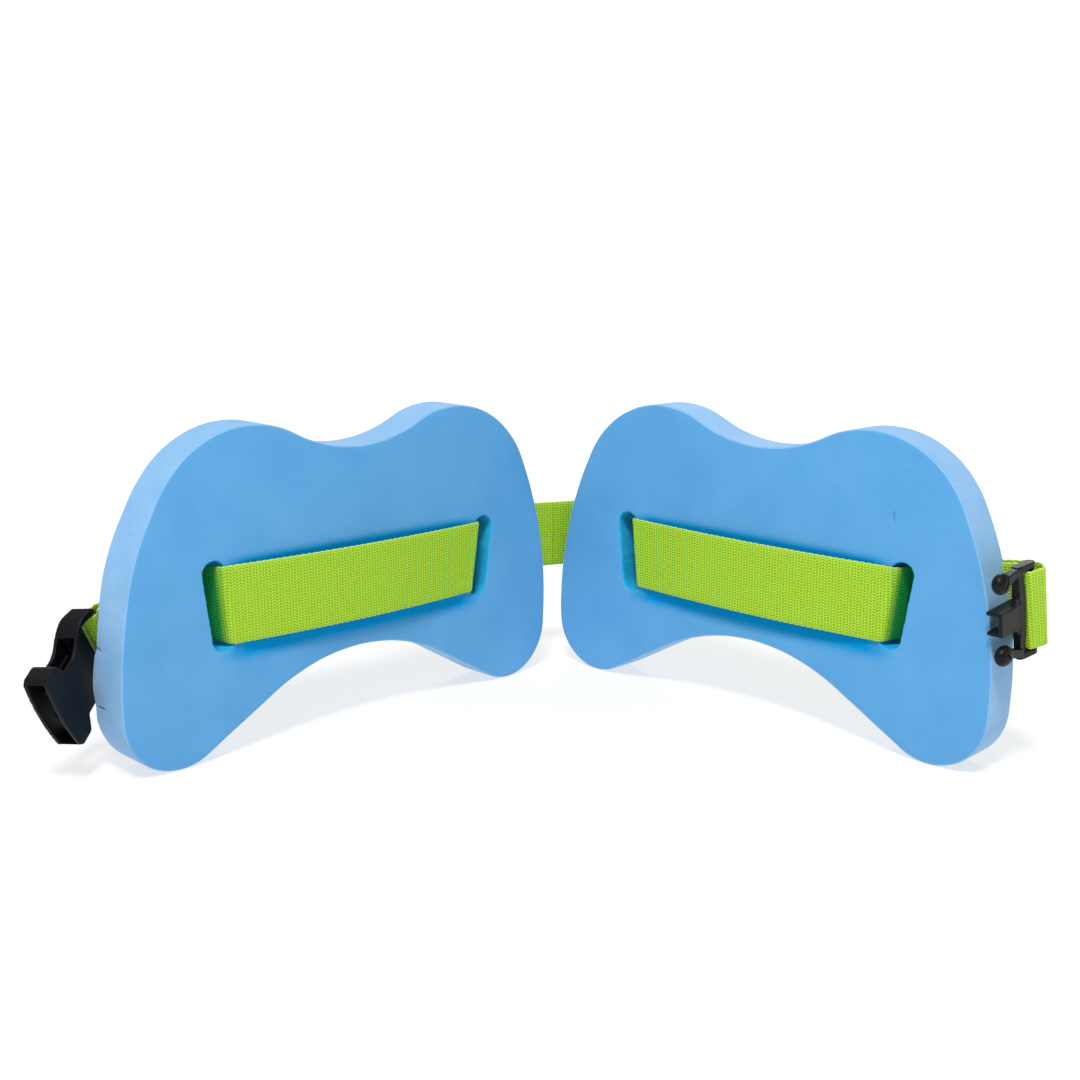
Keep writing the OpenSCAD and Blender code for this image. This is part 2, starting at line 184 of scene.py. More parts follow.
def foam_skin():
    n = Nodes("foam_skin")
    place = n.coords.outputs["Object"]
    cloud = n.noise(place, 38, 3)
    mottle = n.noise(place, 700, 2, 0.6)
    pores = n.noise(place, 2600, 2, 0.65)
    tone = n.ramp(n.math("ADD", n.math("MULTIPLY", cloud, 0.7), n.math("MULTIPLY", mottle, 0.3)), 0.35, 0.65)
    open_colour = n.mix(tone, (0.080, 0.330, 0.655, 1), (0.100, 0.362, 0.690, 1))
    x, z = n.uv_axes()
    # Painted shadow: just below and just above the strap, between the slots, the front skin is mixed to a
    # darker, more saturated blue with less specular and sheen. This stands in for the strap's contact shadow.
    off_middle = n.math("SUBTRACT", z, SLOT_HEIGHT * MM)
    below = n.ramp(off_middle, -(HALF_WEB + 12) * MM, -(HALF_WEB + 5.5) * MM)
    above = n.ramp(off_middle, (HALF_WEB + 5) * MM, (HALF_WEB + 1) * MM)
    within = n.ramp(n.math("ABSOLUTE", x), (SLOT_OFFSET + 1) * MM, (SLOT_OFFSET - 14) * MM)
    beside = n.math("MULTIPLY", n.math("POWER", below, 1.5), n.math("POWER", above, 1.5))
    painted_strap_shadow = n.math("MULTIPLY", beside, within)
    n.feed(n.shader.inputs["Base Color"], n.mix(painted_strap_shadow, open_colour, (0.001, 0.265, 0.620, 1)))
    n.feed(n.shader.inputs["Roughness"], n.ramp(pores, 0.3, 0.7, 0.56, 0.70))
    n.feed(n.shader.inputs["Specular IOR Level"], n.ramp(painted_strap_shadow, 0, 0.6, 0.35, 0.02))
    n.feed(n.shader.inputs["Sheen Weight"], n.ramp(painted_strap_shadow, 0, 0.6, 0.12, 0))
    n.shader.inputs["Sheen Roughness"].default_value = 0.5
    n.bump(n.math("ADD", n.math("MULTIPLY", pores, 0.35), mottle), 0.00010)
    return n.material


def foam_cut(name, dark, light, gloss):
    n = Nodes(name)
    uv = n.coords.outputs["UV"]
    place = n.coords.outputs["Object"]
    strokes = n.noise(n.scaled(uv, (1300, 60, 1)), 1.0, 3, 0.6)
    pores = n.noise(place, 2200, 2, 0.7)
    cloud = n.noise(place, 60, 2)
    blotch = n.math("ADD", n.math("MULTIPLY", strokes, 0.45), n.math("MULTIPLY", cloud, 0.55))
    tone = n.ramp(blotch, 0.36, 0.64)
    n.feed(n.shader.inputs["Base Color"], n.mix(tone, dark, light))
    n.feed(n.shader.inputs["Roughness"], n.ramp(pores, 0.3, 0.7, 0.66, 0.82))
    n.shader.inputs["Specular IOR Level"].default_value = 0.3 * gloss
    n.shader.inputs["Sheen Weight"].default_value = 0.25 * gloss
    n.shader.inputs["Sheen Roughness"].default_value = 0.5
    n.bump(n.math("ADD", n.math("MULTIPLY", pores, 0.5), strokes), 0.00016)
    return n.material


def webbing_weave(sheltered):
    """sheltered lists the distances along the strap, in metres, where it passes through a slot."""
    n = Nodes("webbing_weave")
    u, v = n.uv_axes()
    turn = 2 * math.pi
    wobble = n.math("MULTIPLY", n.math("SUBTRACT", n.noise(n.coords.outputs["UV"], 260, 1), 0.5), 0.9)
    a = n.math("ADD", n.math("MULTIPLY", n.math("MULTIPLY_ADD", v, 0.03, u), turn / WAVE_ALONG), wobble)
    b = n.math("MULTIPLY_ADD", n.math("SINE", a), 1.5, n.math("MULTIPLY", v, turn / WAVE_ACROSS))
    chevrons = n.math("MULTIPLY", n.math("COSINE", b), 0.27)
    ribs = n.math("MULTIPLY", n.math("COSINE", n.math("MULTIPLY", a, 2)), 0.2)
    height = n.math("ADD", n.math("ADD", chevrons, ribs), 0.5)
    fibres = n.noise(n.scaled(n.coords.outputs["UV"], (900, 4200, 1)), 1.0, 2, 0.6)
    tone = n.math("ADD", n.ramp(height, 0.15, 0.85), n.math("MULTIPLY", n.math("SUBTRACT", fibres, 0.5), 0.3))
    colour = n.mix(tone, (0.150, 0.470, 0.018, 1), (0.570, 0.725, 0.022, 1))
    cloud = n.noise(n.coords.outputs["Object"], 55, 2)
    colour = n.mix(n.ramp(cloud, 0.3, 0.7, 0.0, 0.14), colour, (0.300, 0.640, 0.030, 1))
    # Painted highlight: a paler yellow-green line along both edges of the strap.
    painted_edge_highlight = n.ramp(n.math("ABSOLUTE", v), (HALF_WEB - 0.9) * MM, (HALF_WEB - 0.2) * MM, 0, 0.55)
    colour = n.mix(painted_edge_highlight, colour, (0.620, 0.780, 0.240, 1))
    # Painted shade: near each slot pass the weave is mixed towards a dark green, standing in for the shadow
    # inside the slot.
    nearest = n.math("ABSOLUTE", n.math("SUBTRACT", u, sheltered[0]))
    for at in sheltered[1:]:
        nearest = n.math("MINIMUM", nearest, n.math("ABSOLUTE", n.math("SUBTRACT", u, at)))
    shade = n.ramp(nearest, 13.2 * MM, 7 * MM)
    colour = n.mix(n.math("POWER", shade, 1.5), colour, (0.006, 0.290, 0.045, 1))
    n.feed(n.shader.inputs["Base Color"], colour)
    n.feed(n.shader.inputs["Roughness"], n.ramp(fibres, 0.2, 0.8, 0.46, 0.66))
    n.shader.inputs["Specular IOR Level"].default_value = 0.3
    n.shader.inputs["Sheen Weight"].default_value = 0.05
    n.shader.inputs["Sheen Roughness"].default_value = 0.4
    n.bump(n.math("MULTIPLY_ADD", fibres, 0.2, height), 0.00042)
    return n.material


def thread():
    n = Nodes("sewing_thread")
    twist = n.noise(n.coords.outputs["Object"], 2400, 2)
    n.feed(n.shader.inputs["Base Color"], n.mix(twist, (0.27, 0.55, 0.05, 1), (0.50, 0.74, 0.12, 1)))
    n.feed(n.shader.inputs["Roughness"], n.ramp(twist, 0.2, 0.8, 0.4, 0.6))
    n.bump(twist, 0.0001)
    return n.material


def moulded_plastic():
    n = Nodes("moulded_plastic")
    place = n.coords.outputs["Object"]
    grain = n.noise(place, 2800, 2, 0.6)
    cloud = n.noise(place, 90, 2)
    colour = n.mix(cloud, (0.0022, 0.0028, 0.0042, 1), (0.0048, 0.0050, 0.0060, 1))
    n.feed(n.shader.inputs["Base Color"], colour)
    wear = n.math("ADD", n.math("MULTIPLY", cloud, 0.6), n.math("MULTIPLY", grain, 0.4))
    n.feed(n.shader.inputs["Roughness"], n.ramp(wear, 0.3, 0.7, 0.34, 0.48))
    n.shader.inputs["Specular IOR Level"].default_value = 0.19
    n.bump(grain, 0.00003)
    return n.material


SKIN_MATERIAL = foam_skin()
CUT_MATERIAL = foam_cut("foam_cut", (0.175, 0.410, 0.700, 1), (0.225, 0.455, 0.740, 1), 1)
# Painted shade: the slot walls get their own deeper, more saturated blue copy of the cut foam, with little
# specular or sheen, standing in for the shade inside the slots.
SHADED_SLOT_MATERIAL = foam_cut("foam_slot_shaded", (0.010, 0.350, 0.700, 1), (0.030, 0.430, 0.780, 1), 0.1)
THREAD, PLASTIC = thread(), moulded_plastic()


def make(name, points, faces, materials, place=Matrix.Identity(4), uvs=None, slots=None):
    """One mesh object from points in millimetres; uvs holds a corner list for each face."""
    mesh = bpy.data.meshes.new(name)
    mesh.from_pydata([(place @ Vector(p)) * MM for p in points], [], faces)
    for material in materials:
        mesh.materials.append(material)
    if slots:
        mesh.polygons.foreach_set("material_index", slots)
    if uvs:
        layer = mesh.uv_layers.new(name="UVMap")
        layer.data.foreach_set("uv", [c for face in uvs for corner in face for c in corner])
    mesh.polygons.foreach_set("use_smooth", [True] * len(faces))
    mesh.update()
    thing = bpy.data.objects.new(name, mesh)
    bpy.context.collection.objects.link(thing)
    return thing


# ---------------------------------------------------------------- cutting solids
def prism(outline, low, high, axis="Y"):
    """A closed solid: an outline in the plane of the other two axes, run between two levels of one axis."""
    def lift(p, level):
        return {"X": (level, p[0], p[1]), "Y": (p[0], level, p[1]), "Z": (p[0], p[1], level)}[axis]
    n = len(outline)
    points = [lift(p, low) for p in outline] + [lift(p, high) for p in outline]
    faces = [[i, (i + 1) % n, n + (i + 1) % n, n + i] for i in range(n)]
    faces += [list(range(n - 1, -1, -1)), list(range(n, 2 * n))]
    return points, faces


def block(x, y, z):
    return prism([(x[0], z[0]), (x[1], z[0]), (x[1], z[1]), (x[0], z[1])], y[0], y[1])


def face_outwards(thing):
    """Drops points that no face uses and turns every face outwards."""
    work = bmesh.new()
    work.from_mesh(thing.data)
    bmesh.ops.delete(work, geom=[v for v in work.verts if not v.link_faces], context="VERTS")
    bmesh.ops.recalc_face_normals(work, faces=work.faces)
    work.to_mesh(thing.data)
    work.free()
    return thing


def temporary(solid):
    return face_outwards(make("work", solid[0], solid[1], []))


def apply_all(thing):
    """Bakes an object's modifiers into its mesh."""
    bpy.context.view_layer.update()
    done = bpy.data.meshes.new_from_object(thing.evaluated_get(bpy.context.evaluated_depsgraph_get()))
    old = thing.data
    thing.modifiers.clear()
    thing.data = done
    bpy.data.meshes.remove(old)


def move(thing, place):
    """Moves a mesh by a matrix whose lengths are in millimetres."""
    thing.data.transform(Matrix.Scale(MM, 4) @ place @ Matrix.Scale(1 / MM, 4))


def combine(thing, operation, tool):
    change = thing.modifiers.new("cut", "BOOLEAN")
    change.operation, change.object, change.solver = operation, tool, "EXACT"
    apply_all(thing)
    bpy.data.objects.remove(tool)


# ---------------------------------------------------------------- foam floats
OUTLINE_STEP, SLOT_STEP = 1.5, 1.1


def sweep(centre, radius, start, stop, step=OUTLINE_STEP):
    count = max(2, round(abs(math.radians(stop - start)) * radius / step))
    angles = [math.radians(start + (stop - start) * i / count) for i in range(count + 1)]
    return [centre + radius * Vector((math.cos(a), math.sin(a))) for a in angles]


def bearing(v):
    return math.degrees(math.atan2(v.y, v.x))


def float_outline():
    spoke = foot - arch
    arch_from = bearing(spoke) + math.degrees(math.acos((ARCH_RADIUS + FOOT_RADIUS) / spoke.length))
    half = (sweep(dip, DIP_RADIUS, -90, bearing(lobe - dip))
            + sweep(lobe, LOBE_RADIUS, bearing(dip - lobe), bearing(lobe - flank))[1:]
            + sweep(flank, FLANK_RADIUS, bearing(lobe - flank), bearing(foot - flank))[1:]
            + sweep(foot, FOOT_RADIUS, bearing(foot - flank), arch_from - 180)[1:])
    off = half[-1]
    onto = arch + ARCH_RADIUS * Vector((math.cos(math.radians(arch_from)), math.sin(math.radians(arch_from))))
    runs = max(1, round((onto - off).length / OUTLINE_STEP))
    half += [off.lerp(onto, i / runs) for i in range(1, runs + 1)]
    half += sweep(arch, ARCH_RADIUS, arch_from, 90)[1:]
    return half + [Vector((-p.x, p.y)) for p in reversed(half[1:-1])]


def slot_outline(side):
    half = SLOT_WIDTH / 2
    straight = SLOT_LENGTH / 2 - SLOT_WIDTH / 2
    parts = 24
    ring = (sweep(Vector((0, straight)), half, 0, 180, SLOT_STEP)
            + [Vector((-half, straight - 2 * straight * i / parts)) for i in range(1, parts)]
            + sweep(Vector((0, -straight)), half, 180, 360, SLOT_STEP)
            + [Vector((half, -straight + 2 * straight * i / parts)) for i in range(1, parts)])
    lean = math.radians(side * SLOT_LEAN)
    c, s = math.cos(lean), math.sin(lean)
    spun = [Vector((p.x * c + p.y * s, -p.x * s + p.y * c)) for p in ring]
    return [p + Vector((side * SLOT_OFFSET, SLOT_HEIGHT)) for p in spun]


def outward(ring):
    """Unit normals to the right of a closed ring's direction of travel."""
    found = []
    for i, p in enumerate(ring):
        way = (ring[(i + 1) % len(ring)] - ring[i - 1]).normalized()
        found.append(Vector((way.y, -way.x)))
    area = sum(ring[i - 1].x * p.y - p.x * ring[i - 1].y for i, p in enumerate(ring))
    return found if area > 0 else [-v for v in found]


def inside_ring(p, ring):
    """Whether a point lies inside a closed ring."""
    inside = False
    for i, q in enumerate(ring):
        o = ring[i - 1]
        if (q.y > p.y) != (o.y > p.y) and p.x < (o.x - q.x) * (p.y - q.y) / (o.y - q.y) + q.x:
            inside = not inside
    return inside


def hum(x, y, z, size, seed):
    """Smooth noise with features of the given size."""
    return noise.noise(Vector((x / size + seed * 17.3, y / size - seed * 5.1, z / size + seed * 3.7)))


def build_float(name, place, seed, nicks, swell=None):
    """nicks are (u, depth, z, radius, size of the dent, direction); swell gives the growth of an end."""
    rim, slot_rim = 0.8, 0.55
    rings = [float_outline(), slot_outline(-1), slot_outline(1)]
    normals = [outward(rings[0])] + [[-v for v in outward(r)] for r in rings[1:]]
    rims = [rim, slot_rim, slot_rim]
    ragged = []
    for k, ring in enumerate(rings):
        rough = 0.10 if k == 0 else 0.34
        size = 11 if k == 0 else 2.2
        ragged.append([p + n * rough * hum(p.x, 0, p.y, size, seed + k) for p, n in zip(ring, normals[k])])
    edge = [[p - n * rims[k] for p, n in zip(ragged[k], normals[k])] for k in range(3)]
    flat = [p for ring in edge for p in ring]
    starts = [0, len(edge[0]), len(edge[0]) + len(edge[1])]
    links = [(s + i, s + (i + 1) % len(e)) for s, e in zip(starts, edge) for i in range(len(e))]

    def in_sheet(p):
        return inside_ring(p, edge[0]) and not inside_ring(p, edge[1]) and not inside_ring(p, edge[2])

    pitch, row_share, clear_squared = 3.1, 0.866, 3.2
    span, tall, margin = 280, 170, 2
    posts = edge[0][::2] + edge[1][::2] + edge[2][::2]
    for row in range(int(tall / (pitch * row_share)) + 1):
        for col in range(int(span / pitch) + 1):
            p = Vector((-span / 2 + (col + 0.5 * (row % 2)) * pitch, -margin + row * pitch * row_share))
            near = min((p - q).length_squared for q in posts)
            if near > clear_squared and in_sheet(p):
                flat.append(p)
    found = delaunay_2d_cdt(flat, links, [], 0, 1e-5)
    sheet_points, triangles, source = found[0], found[2], found[3]
    where = {}
    for out, ids in enumerate(source):
        for i in ids:
            where[i] = out
    kept = []
    for tri in triangles:
        middle = (sheet_points[tri[0]] + sheet_points[tri[1]] + sheet_points[tri[2]]) / 3
        if in_sheet(middle):
            kept.append(tri)

    points, faces, uvs, slots = [], [], [], []

    def settle(u, depth, z):
        front = 0.30 * hum(u, 0, z, 46, seed) + 0.10 * hum(u, 0, z, 13, seed + 4)
        back = 0.30 * hum(u, 9, z, 46, seed + 2) + 0.10 * hum(u, 9, z, 13, seed + 6)
        spot = Vector((u, depth + front * (1 - depth / FOAM) + back * depth / FOAM, z))
        if swell:
            spot.x += swell(u, depth, z)
        for nu, nd, nz, radius, sink, way in nicks:
            gap = Vector((u - nu, depth - nd, z - nz)).length / radius
            if gap < 1:
                spot += Vector(way) * sink * (1 - gap * gap) ** 2
        return spot

    def put(p, depth):
        points.append(settle(p.x, depth, p.y))
        return len(points) - 1

    front = [put(p, 0) for p in sheet_points]
    back = [put(p, FOAM) for p in sheet_points]
    for tri in kept:
        a, b, c = tri
        for ids, base in ((front, (a, b, c)), (back, (a, c, b))):
            faces.append([ids[i] for i in base])
            # The back faces' UVs are moved 1 m along u so that the painted strap shadow of foam_skin lands on
            # the front only.
            aside = 0 if ids is front else 1
            uvs.append([(sheet_points[i].x * MM + aside, sheet_points[i].y * MM) for i in base])
            slots.append(0)
    walls = 11
    for k in range(3):
        count = len(edge[k])
        base = [front[where[starts[k] + i]] for i in range(count)]
        far = [back[where[starts[k] + i]] for i in range(count)]
        lift = [(rims[k] * (1 - math.sin(math.radians(a))), rims[k] * (1 - math.cos(math.radians(a))))
                for a in (30, 60, 90)]
        levels = lift + [(0, rims[k] + (FOAM - 2 * rims[k]) * i / walls) for i in range(1, walls)]
        levels += [(d, FOAM - y) for d, y in reversed(lift)]
        run = [0]
        for i in range(count):
            run.append(run[-1] + (edge[k][(i + 1) % count] - edge[k][i]).length)
        layers = [base]
        for d, y in levels:
            layers.append([put(ragged[k][i] - normals[k][i] * d, y) for i in range(count)])
        layers.append(far)
        depths = [0] + [y for d, y in levels] + [FOAM]
        for j in range(len(layers) - 1):
            for i in range(count):
                m = (i + 1) % count
                faces.append([layers[j][i], layers[j + 1][i], layers[j + 1][m], layers[j][m]])
                uvs.append([(run[i] * MM, depths[j] * MM), (run[i] * MM, depths[j + 1] * MM),
                            (run[i + 1] * MM, depths[j + 1] * MM), (run[i + 1] * MM, depths[j] * MM)])
                # Outer walls take the cut foam; slot walls take its painted-shade copy.
                slots.append(1 if k == 0 else 2)
    thing = make(name, points, faces, [SKIN_MATERIAL, CUT_MATERIAL, SHADED_SLOT_MATERIAL], place, uvs, slots)
    return face_outwards(thing)


def hill(value, centre, width):
    return math.exp(-((value - centre) / width) ** 2)


def swell_left(u, depth, z):
    """The outer end bulges above and below the place where the strap pulls round it."""
    begins = -60
    if u > begins:
        return 0
    end = min(1, (begins - u) / 60)
    upper = 2.1 * hill(z, 98, 26) * (0.6 + 0.4 * depth / FOAM)
    lower = 1.9 * hill(z, 40, 20) * min(1, max(0, (58.5 - z) / 2.5)) * (depth / FOAM) ** 1.4
    return -end * (upper + lower)


LEFT_NICKS = [(-134.5, 20.0, 59, 2.6, 1.1, (1, 0, 0)), (-133.6, FOAM, 104, 3.2, 1.1, (0.9, -0.4, 0)),
              (-132.8, FOAM, 108, 2.4, 0.9, (0.9, -0.4, 0)), (20, 0, 118, 5, 0.25, (0, 1, 0)),
              (-134, FOAM - 3, 33, 9, 0.75, (1, 0, 0))]
RIGHT_NICKS = [(78.6, 0, 115, 3.2, 0.9, (0, 1, 0)), (84, 0, 146, 3.4, 0.7, (0, 1, 0)),
               (27, 0, 143, 3.6, 0.6, (0, 1, 0)), (-104, 0, 96, 5, 0.6, (0, 1, 0))]


def slit(thing, place, low, high):
    """Cuts a thin gash through the foam's surface."""
    tool = temporary(block(*zip(low, high)))
    move(tool, place)
    combine(thing, "DIFFERENCE", tool)


left_float = build_float("foam_float_left", on_left, 1, LEFT_NICKS, swell_left)
right_float = build_float("foam_float_right", on_right, 2, RIGHT_NICKS)
slit(left_float, on_left @ shift_by(-133.5, 20.5, 58.8) @ about("X", 14), (-4, -2.5, -0.3), (1.9, 5, 0.3))
slit(left_float, on_left, (-137, 14.5, 32), (-133.7, 20.5, 32.7))
slit(right_float, on_right @ shift_by(78, 0, 116.5) @ about("Y", 4), (-0.25, -1, -2.4), (0.25, 0.7, 2.4))
for thing, body in ((left_float, "left_float"), (right_float, "right_float")):
    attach(thing, body)
    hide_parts(body)


# ---------------------------------------------------------------- webbing
class Strap:
    """The path of the strap: control points with rulings across its width, rounded at the bends."""

    def __init__(self):
        self.controls = []

    def go(self, place, x, y, z, radius=0.0, ruling=(0, 0, 1), mark=None):
        across = (place.to_3x3() @ Vector(ruling)).normalized()
        self.controls.append((place @ Vector((x, y, z)), across, radius, mark))

    def lay(self):
        """Turns the controls into one run of points, and keeps the rulings and marks by distance along it."""
        pts, marks = [], {}
        keys = []
        count = len(self.controls)
        for i, (p, across, radius, mark) in enumerate(self.controls):
            if radius > 0 and 0 < i < count - 1:
                to_last, to_next = self.controls[i - 1][0] - p, self.controls[i + 1][0] - p
                u, v = to_last.normalized(), to_next.normalized()
                half = u.angle(v) / 2
                cut = min(radius / math.tan(half), 0.48 * to_last.length, 0.48 * to_next.length)
                real = cut * math.tan(half)
                if math.pi / 2 - half > 0.002:
                    centre = p + (u + v).normalized() * real / math.sin(half)
                    first, last = p + u * cut - centre, p + v * cut - centre
                    steps = max(3, round((math.pi - 2 * half) / 0.14))
                    arc = [centre + first.normalized().slerp(last.normalized(), k / steps) * real
                           for k in range(steps + 1)]
                    keys.append((len(pts) + steps // 2, across))
                    pts.extend(arc)
                    continue
            keys.append((len(pts), across))
            pts.append(p)
            if mark:
                marks[mark] = len(pts) - 1
        run = [0.0]
        for a, b in zip(pts, pts[1:]):
            run.append(run[-1] + (b - a).length)
        self.run, self.points = run, pts
        self.keys = [(run[i], across) for i, across in keys]
        self.marks = {name: run[i] for name, i in marks.items()}
        self.length = run[-1]

    def find(self, s):
        """The point at a distance along the strap."""
        lo, hi = 0, len(self.run) - 1
        while hi - lo > 1:
            mid = (lo + hi) // 2
            if self.run[mid] <= s:
                lo = mid
            else:
                hi = mid
        f = (s - self.run[lo]) / max(self.run[hi] - self.run[lo], 1e-9)
        return self.points[lo].lerp(self.points[hi], min(max(f, 0), 1))

    def ruling(self, s):
        """The direction across the strap at a distance along it."""
        for (s0, a), (s1, b) in zip(self.keys, self.keys[1:]):
            if s <= s1:
                f = min(max((s - s0) / max(s1 - s0, 1e-9), 0), 1)
                return a.lerp(b, f * f * (3 - 2 * f)).normalized()
        return self.keys[-1][1]

    def piece(self, name, start, stop):
        """A closed length of webbing with rounded, slightly scalloped edges."""
        step, feel = WAVE_ALONG / MM / 6, 0.35
        count = max(2, round((stop - start) / step))
        t, lanes = SKIN / 2, 12
        side = [(-HALF_WEB + t + (WEB - SKIN) * j / lanes, t) for j in range(lanes + 1)]
        turn = [(HALF_WEB - t + t * math.cos(a), t * math.sin(a)) for a in (math.pi / 4, 0, -math.pi / 4)]
        section = side + turn + [(-v, -w) for v, w in side] + [(-v, -w) for v, w in turn]
        points, at = [], []
        for i in range(count + 1):
            s = start + (stop - start) * i / count
            here = self.find(s)
            way = (self.find(min(s + feel, self.length)) - self.find(max(s - feel, 0))).normalized()
            r = self.ruling(s)
            flatwise = r - way * r.dot(way)
            stretch = 1 / flatwise.length
            face = way.cross(flatwise).normalized()
            for v, w in section:
                edge = max(0.0, abs(v) - HALF_WEB + 1.2)
                scallop = 1 + 0.10 * math.cos(2 * math.pi * s * MM / WAVE_ALONG) * edge / HALF_WEB
                points.append(here + r * v * stretch * scallop + face * w)
                at.append(((s + r.dot(way) * v * stretch) * MM, v * MM))
        n = len(section)
        faces = [[i * n + j, i * n + (j + 1) % n, (i + 1) * n + (j + 1) % n, (i + 1) * n + j]
                 for i in range(count) for j in range(n)]
        faces += [list(range(n - 1, -1, -1)), [count * n + j for j in range(n)]]
        uvs = [[at[c] for c in face] for face in faces]
        return face_outwards(make(name, points, faces, [WEAVE], uvs=uvs))


def lean_of(side):
    a = math.radians(side * SLOT_LEAN)
    return (math.sin(a), 0, math.cos(a))


strap = Strap()
strap.go(at_left_end, 0.8, -FOLD_GAP, 0)
strap.go(at_left_end, 5.5, -FOLD_GAP, 0, 3)
WRAP = 3.2
strap.go(at_loop, 5.2, WRAP, 0, 3)
strap.go(at_loop, -WRAP, WRAP, 0, 3.1)
strap.go(at_loop, -WRAP, -WRAP, 0, 3.1)
strap.go(at_loop, 5.2, -WRAP, 0, 3)
strap.go(at_left_end, 5.5, 0, 0, 3)
strap.go(at_left_end, 0, 0, 0, 7)
PANEL = SLOT_OFFSET - 8.5
sag = (PANEL ** 2 + BOW ** 2) / (2 * BOW)


def across_float(place, name, outer):
    """From behind the slot on the -X side, over the front, to behind the slot on the +X side."""
    for side in (-1, 1):
        edge, bend = (-3.8, 5) if side == outer else (-4.9, 1.8)
        stops = [(10, BACK_LIE, 3), (4.6, BACK_LIE, 2), (0, (BACK_LIE + FRONT_LIE) / 2, 0),
                 (edge, FRONT_LIE, bend)]
        for away, depth, radius in (stops if side < 0 else reversed(stops)):
            mark = f"{name}{side}" if away == 0 else None
            strap.go(place, side * (SLOT_OFFSET + away), depth, SLOT_HEIGHT, radius, lean_of(side), mark)
        if side < 0:
            parts = 12
            for i in range(-parts, parts + 1):
                x = PANEL * i / parts
                y = FRONT_LIE - BOW + sag - math.sqrt(sag ** 2 - x ** 2)
                strap.go(place, x, y, SLOT_HEIGHT, 0, lean_of(i / parts))


across_float(on_left, "left", -1)
mid_bridge = stand @ about("Z", BRIDGE_TURN)
strap.go(mid_bridge, -BRIDGE_SPAN / 2, 0, SLOT_HEIGHT, 6)
strap.go(mid_bridge, 0, 0, SLOT_HEIGHT, mark="bridge")
strap.go(mid_bridge, BRIDGE_SPAN / 2, 0, SLOT_HEIGHT, 6)
across_float(on_right, "right", 1)
bar_x = PLUG_BAR[0]
strap.go(at_right_end, 0, BACK_LIE, 0, 2.4)
strap.go(at_right_end, bar_x - 4, BACK_LIE - 2, 0, 1.8)
strap.go(at_right_end, bar_x - 4, SLOT_LIE, 0, 1.8)
strap.go(at_right_end, bar_x + 0.5, SLOT_LIE, 0, mark="plug_slot")
strap.go(at_right_end, bar_x + 2.4, SLOT_LIE, 0, 2.2)
strap.go(at_right_end, bar_x + 4.9, BACK_LIE + 1, 0, 2.6)
strap.go(at_right_end, bar_x + 0.5, TAIL_LIE, 0, 3)
strap.go(at_right_end, 3.6, TAIL_LIE, 0, mark="tail_start")
strap.go(at_tail, 12, 0, 0, 6)
strap.go(at_tail, TAIL_LENGTH - 0.75, 0, 0, 0.7)
strap.go(at_tail, TAIL_LENGTH - 0.75, -FOLD_GAP, 0, 0.7)
strap.go(at_tail, TAIL_LENGTH - 22, -FOLD_GAP, 0)
strap.lay()
WEAVE = webbing_weave([strap.marks[m] * MM for m in ("left-1", "left1", "right-1", "right1")])

cuts = [0, strap.marks["left-1"], strap.marks["left1"], strap.marks["bridge"], strap.marks["right-1"],
        strap.marks["right1"], strap.marks["plug_slot"], strap.marks["tail_start"], strap.length]
names = ["strap_left_end", "strap_left_front", "strap_left_bridge", "strap_right_bridge", "strap_right_front",
         "strap_right_end", "strap_tail_turn", "strap_tail"]
straps = {n: strap.piece(n, a, b) for n, a, b in zip(names, cuts, cuts[1:])}


def spot(place, x, y, z=0):
    return tuple((place @ Vector((x, y, z))) * MM)


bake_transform(straps["strap_left_end"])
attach(straps["strap_left_front"], "left_float")
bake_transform(straps["strap_left_bridge"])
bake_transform(straps["strap_right_bridge"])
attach(straps["strap_right_front"], "right_float")
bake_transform(straps["strap_right_end"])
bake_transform(straps["strap_tail_turn"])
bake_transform(straps["strap_tail"])
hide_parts("webbing_left_outer", "webbing_left_end", "webbing_left_loop")
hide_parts("webbing_left_front")
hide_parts("webbing_left_inner", "webbing_bridge")
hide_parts("webbing_right_inner")
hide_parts("webbing_right_front")
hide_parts("webbing_right_outer", "webbing_right_end")
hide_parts("webbing_tail_turn")
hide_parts("webbing_tail", "tail_hem")


def stitches(rows, depth):
    """Rows of short raised stitches across the webbing, each a small rounded thread."""
    points, faces = [], []
    pitch, long, thick = 2.9, 2.3, 0.32
    rings, sides = 6, 8
    count = int((WEB - 5) / pitch)
    for x in rows:
        for k in range(count):
            z0 = (k - (count - 1) / 2) * pitch
            base = len(points)
            for i in range(rings + 1):
                f = -1 + 2 * i / rings
                size = thick * math.sqrt(max(1 - f ** 4, 0.02))
                for j in range(sides):
                    a = 2 * math.pi * j / sides
                    points.append((x + size * math.cos(a), depth + size * math.sin(a) * 0.8,
                                   z0 + f * long / 2))
            for i in range(rings):
                low, high = base + i * sides, base + (i + 1) * sides
                for j in range(sides):
                    m = (j + 1) % sides
                    faces.append([low + j, low + m, high + m, high + j])
            faces.append([base + j for j in range(sides - 1, -1, -1)])
            faces.append([base + rings * sides + j for j in range(sides)])
    return points, faces


def joined(*pairs):
    points, faces = [], []
    for p, f in pairs:
        faces += [[i + len(points) for i in face] for face in f]
        points += p
    return points, faces


def seam(name, rows, place):
    """The same rows of stitches on both faces of a fold."""
    points, faces = joined(stitches(rows, -FOLD_GAP - SKIN / 2), stitches(rows, SKIN / 2))
    return make(name, points, faces, [THREAD], place)


loop_stitches = seam("loop_stitches", (1.6, 4.4), at_left_end)
hem_stitches = seam("hem_stitches", (TAIL_LENGTH - 19, TAIL_LENGTH - 5), at_tail)
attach(loop_stitches, "left_end")
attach(hem_stitches, "tail")
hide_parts("left_loop_stitching")
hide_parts("tail_hem_stitching")


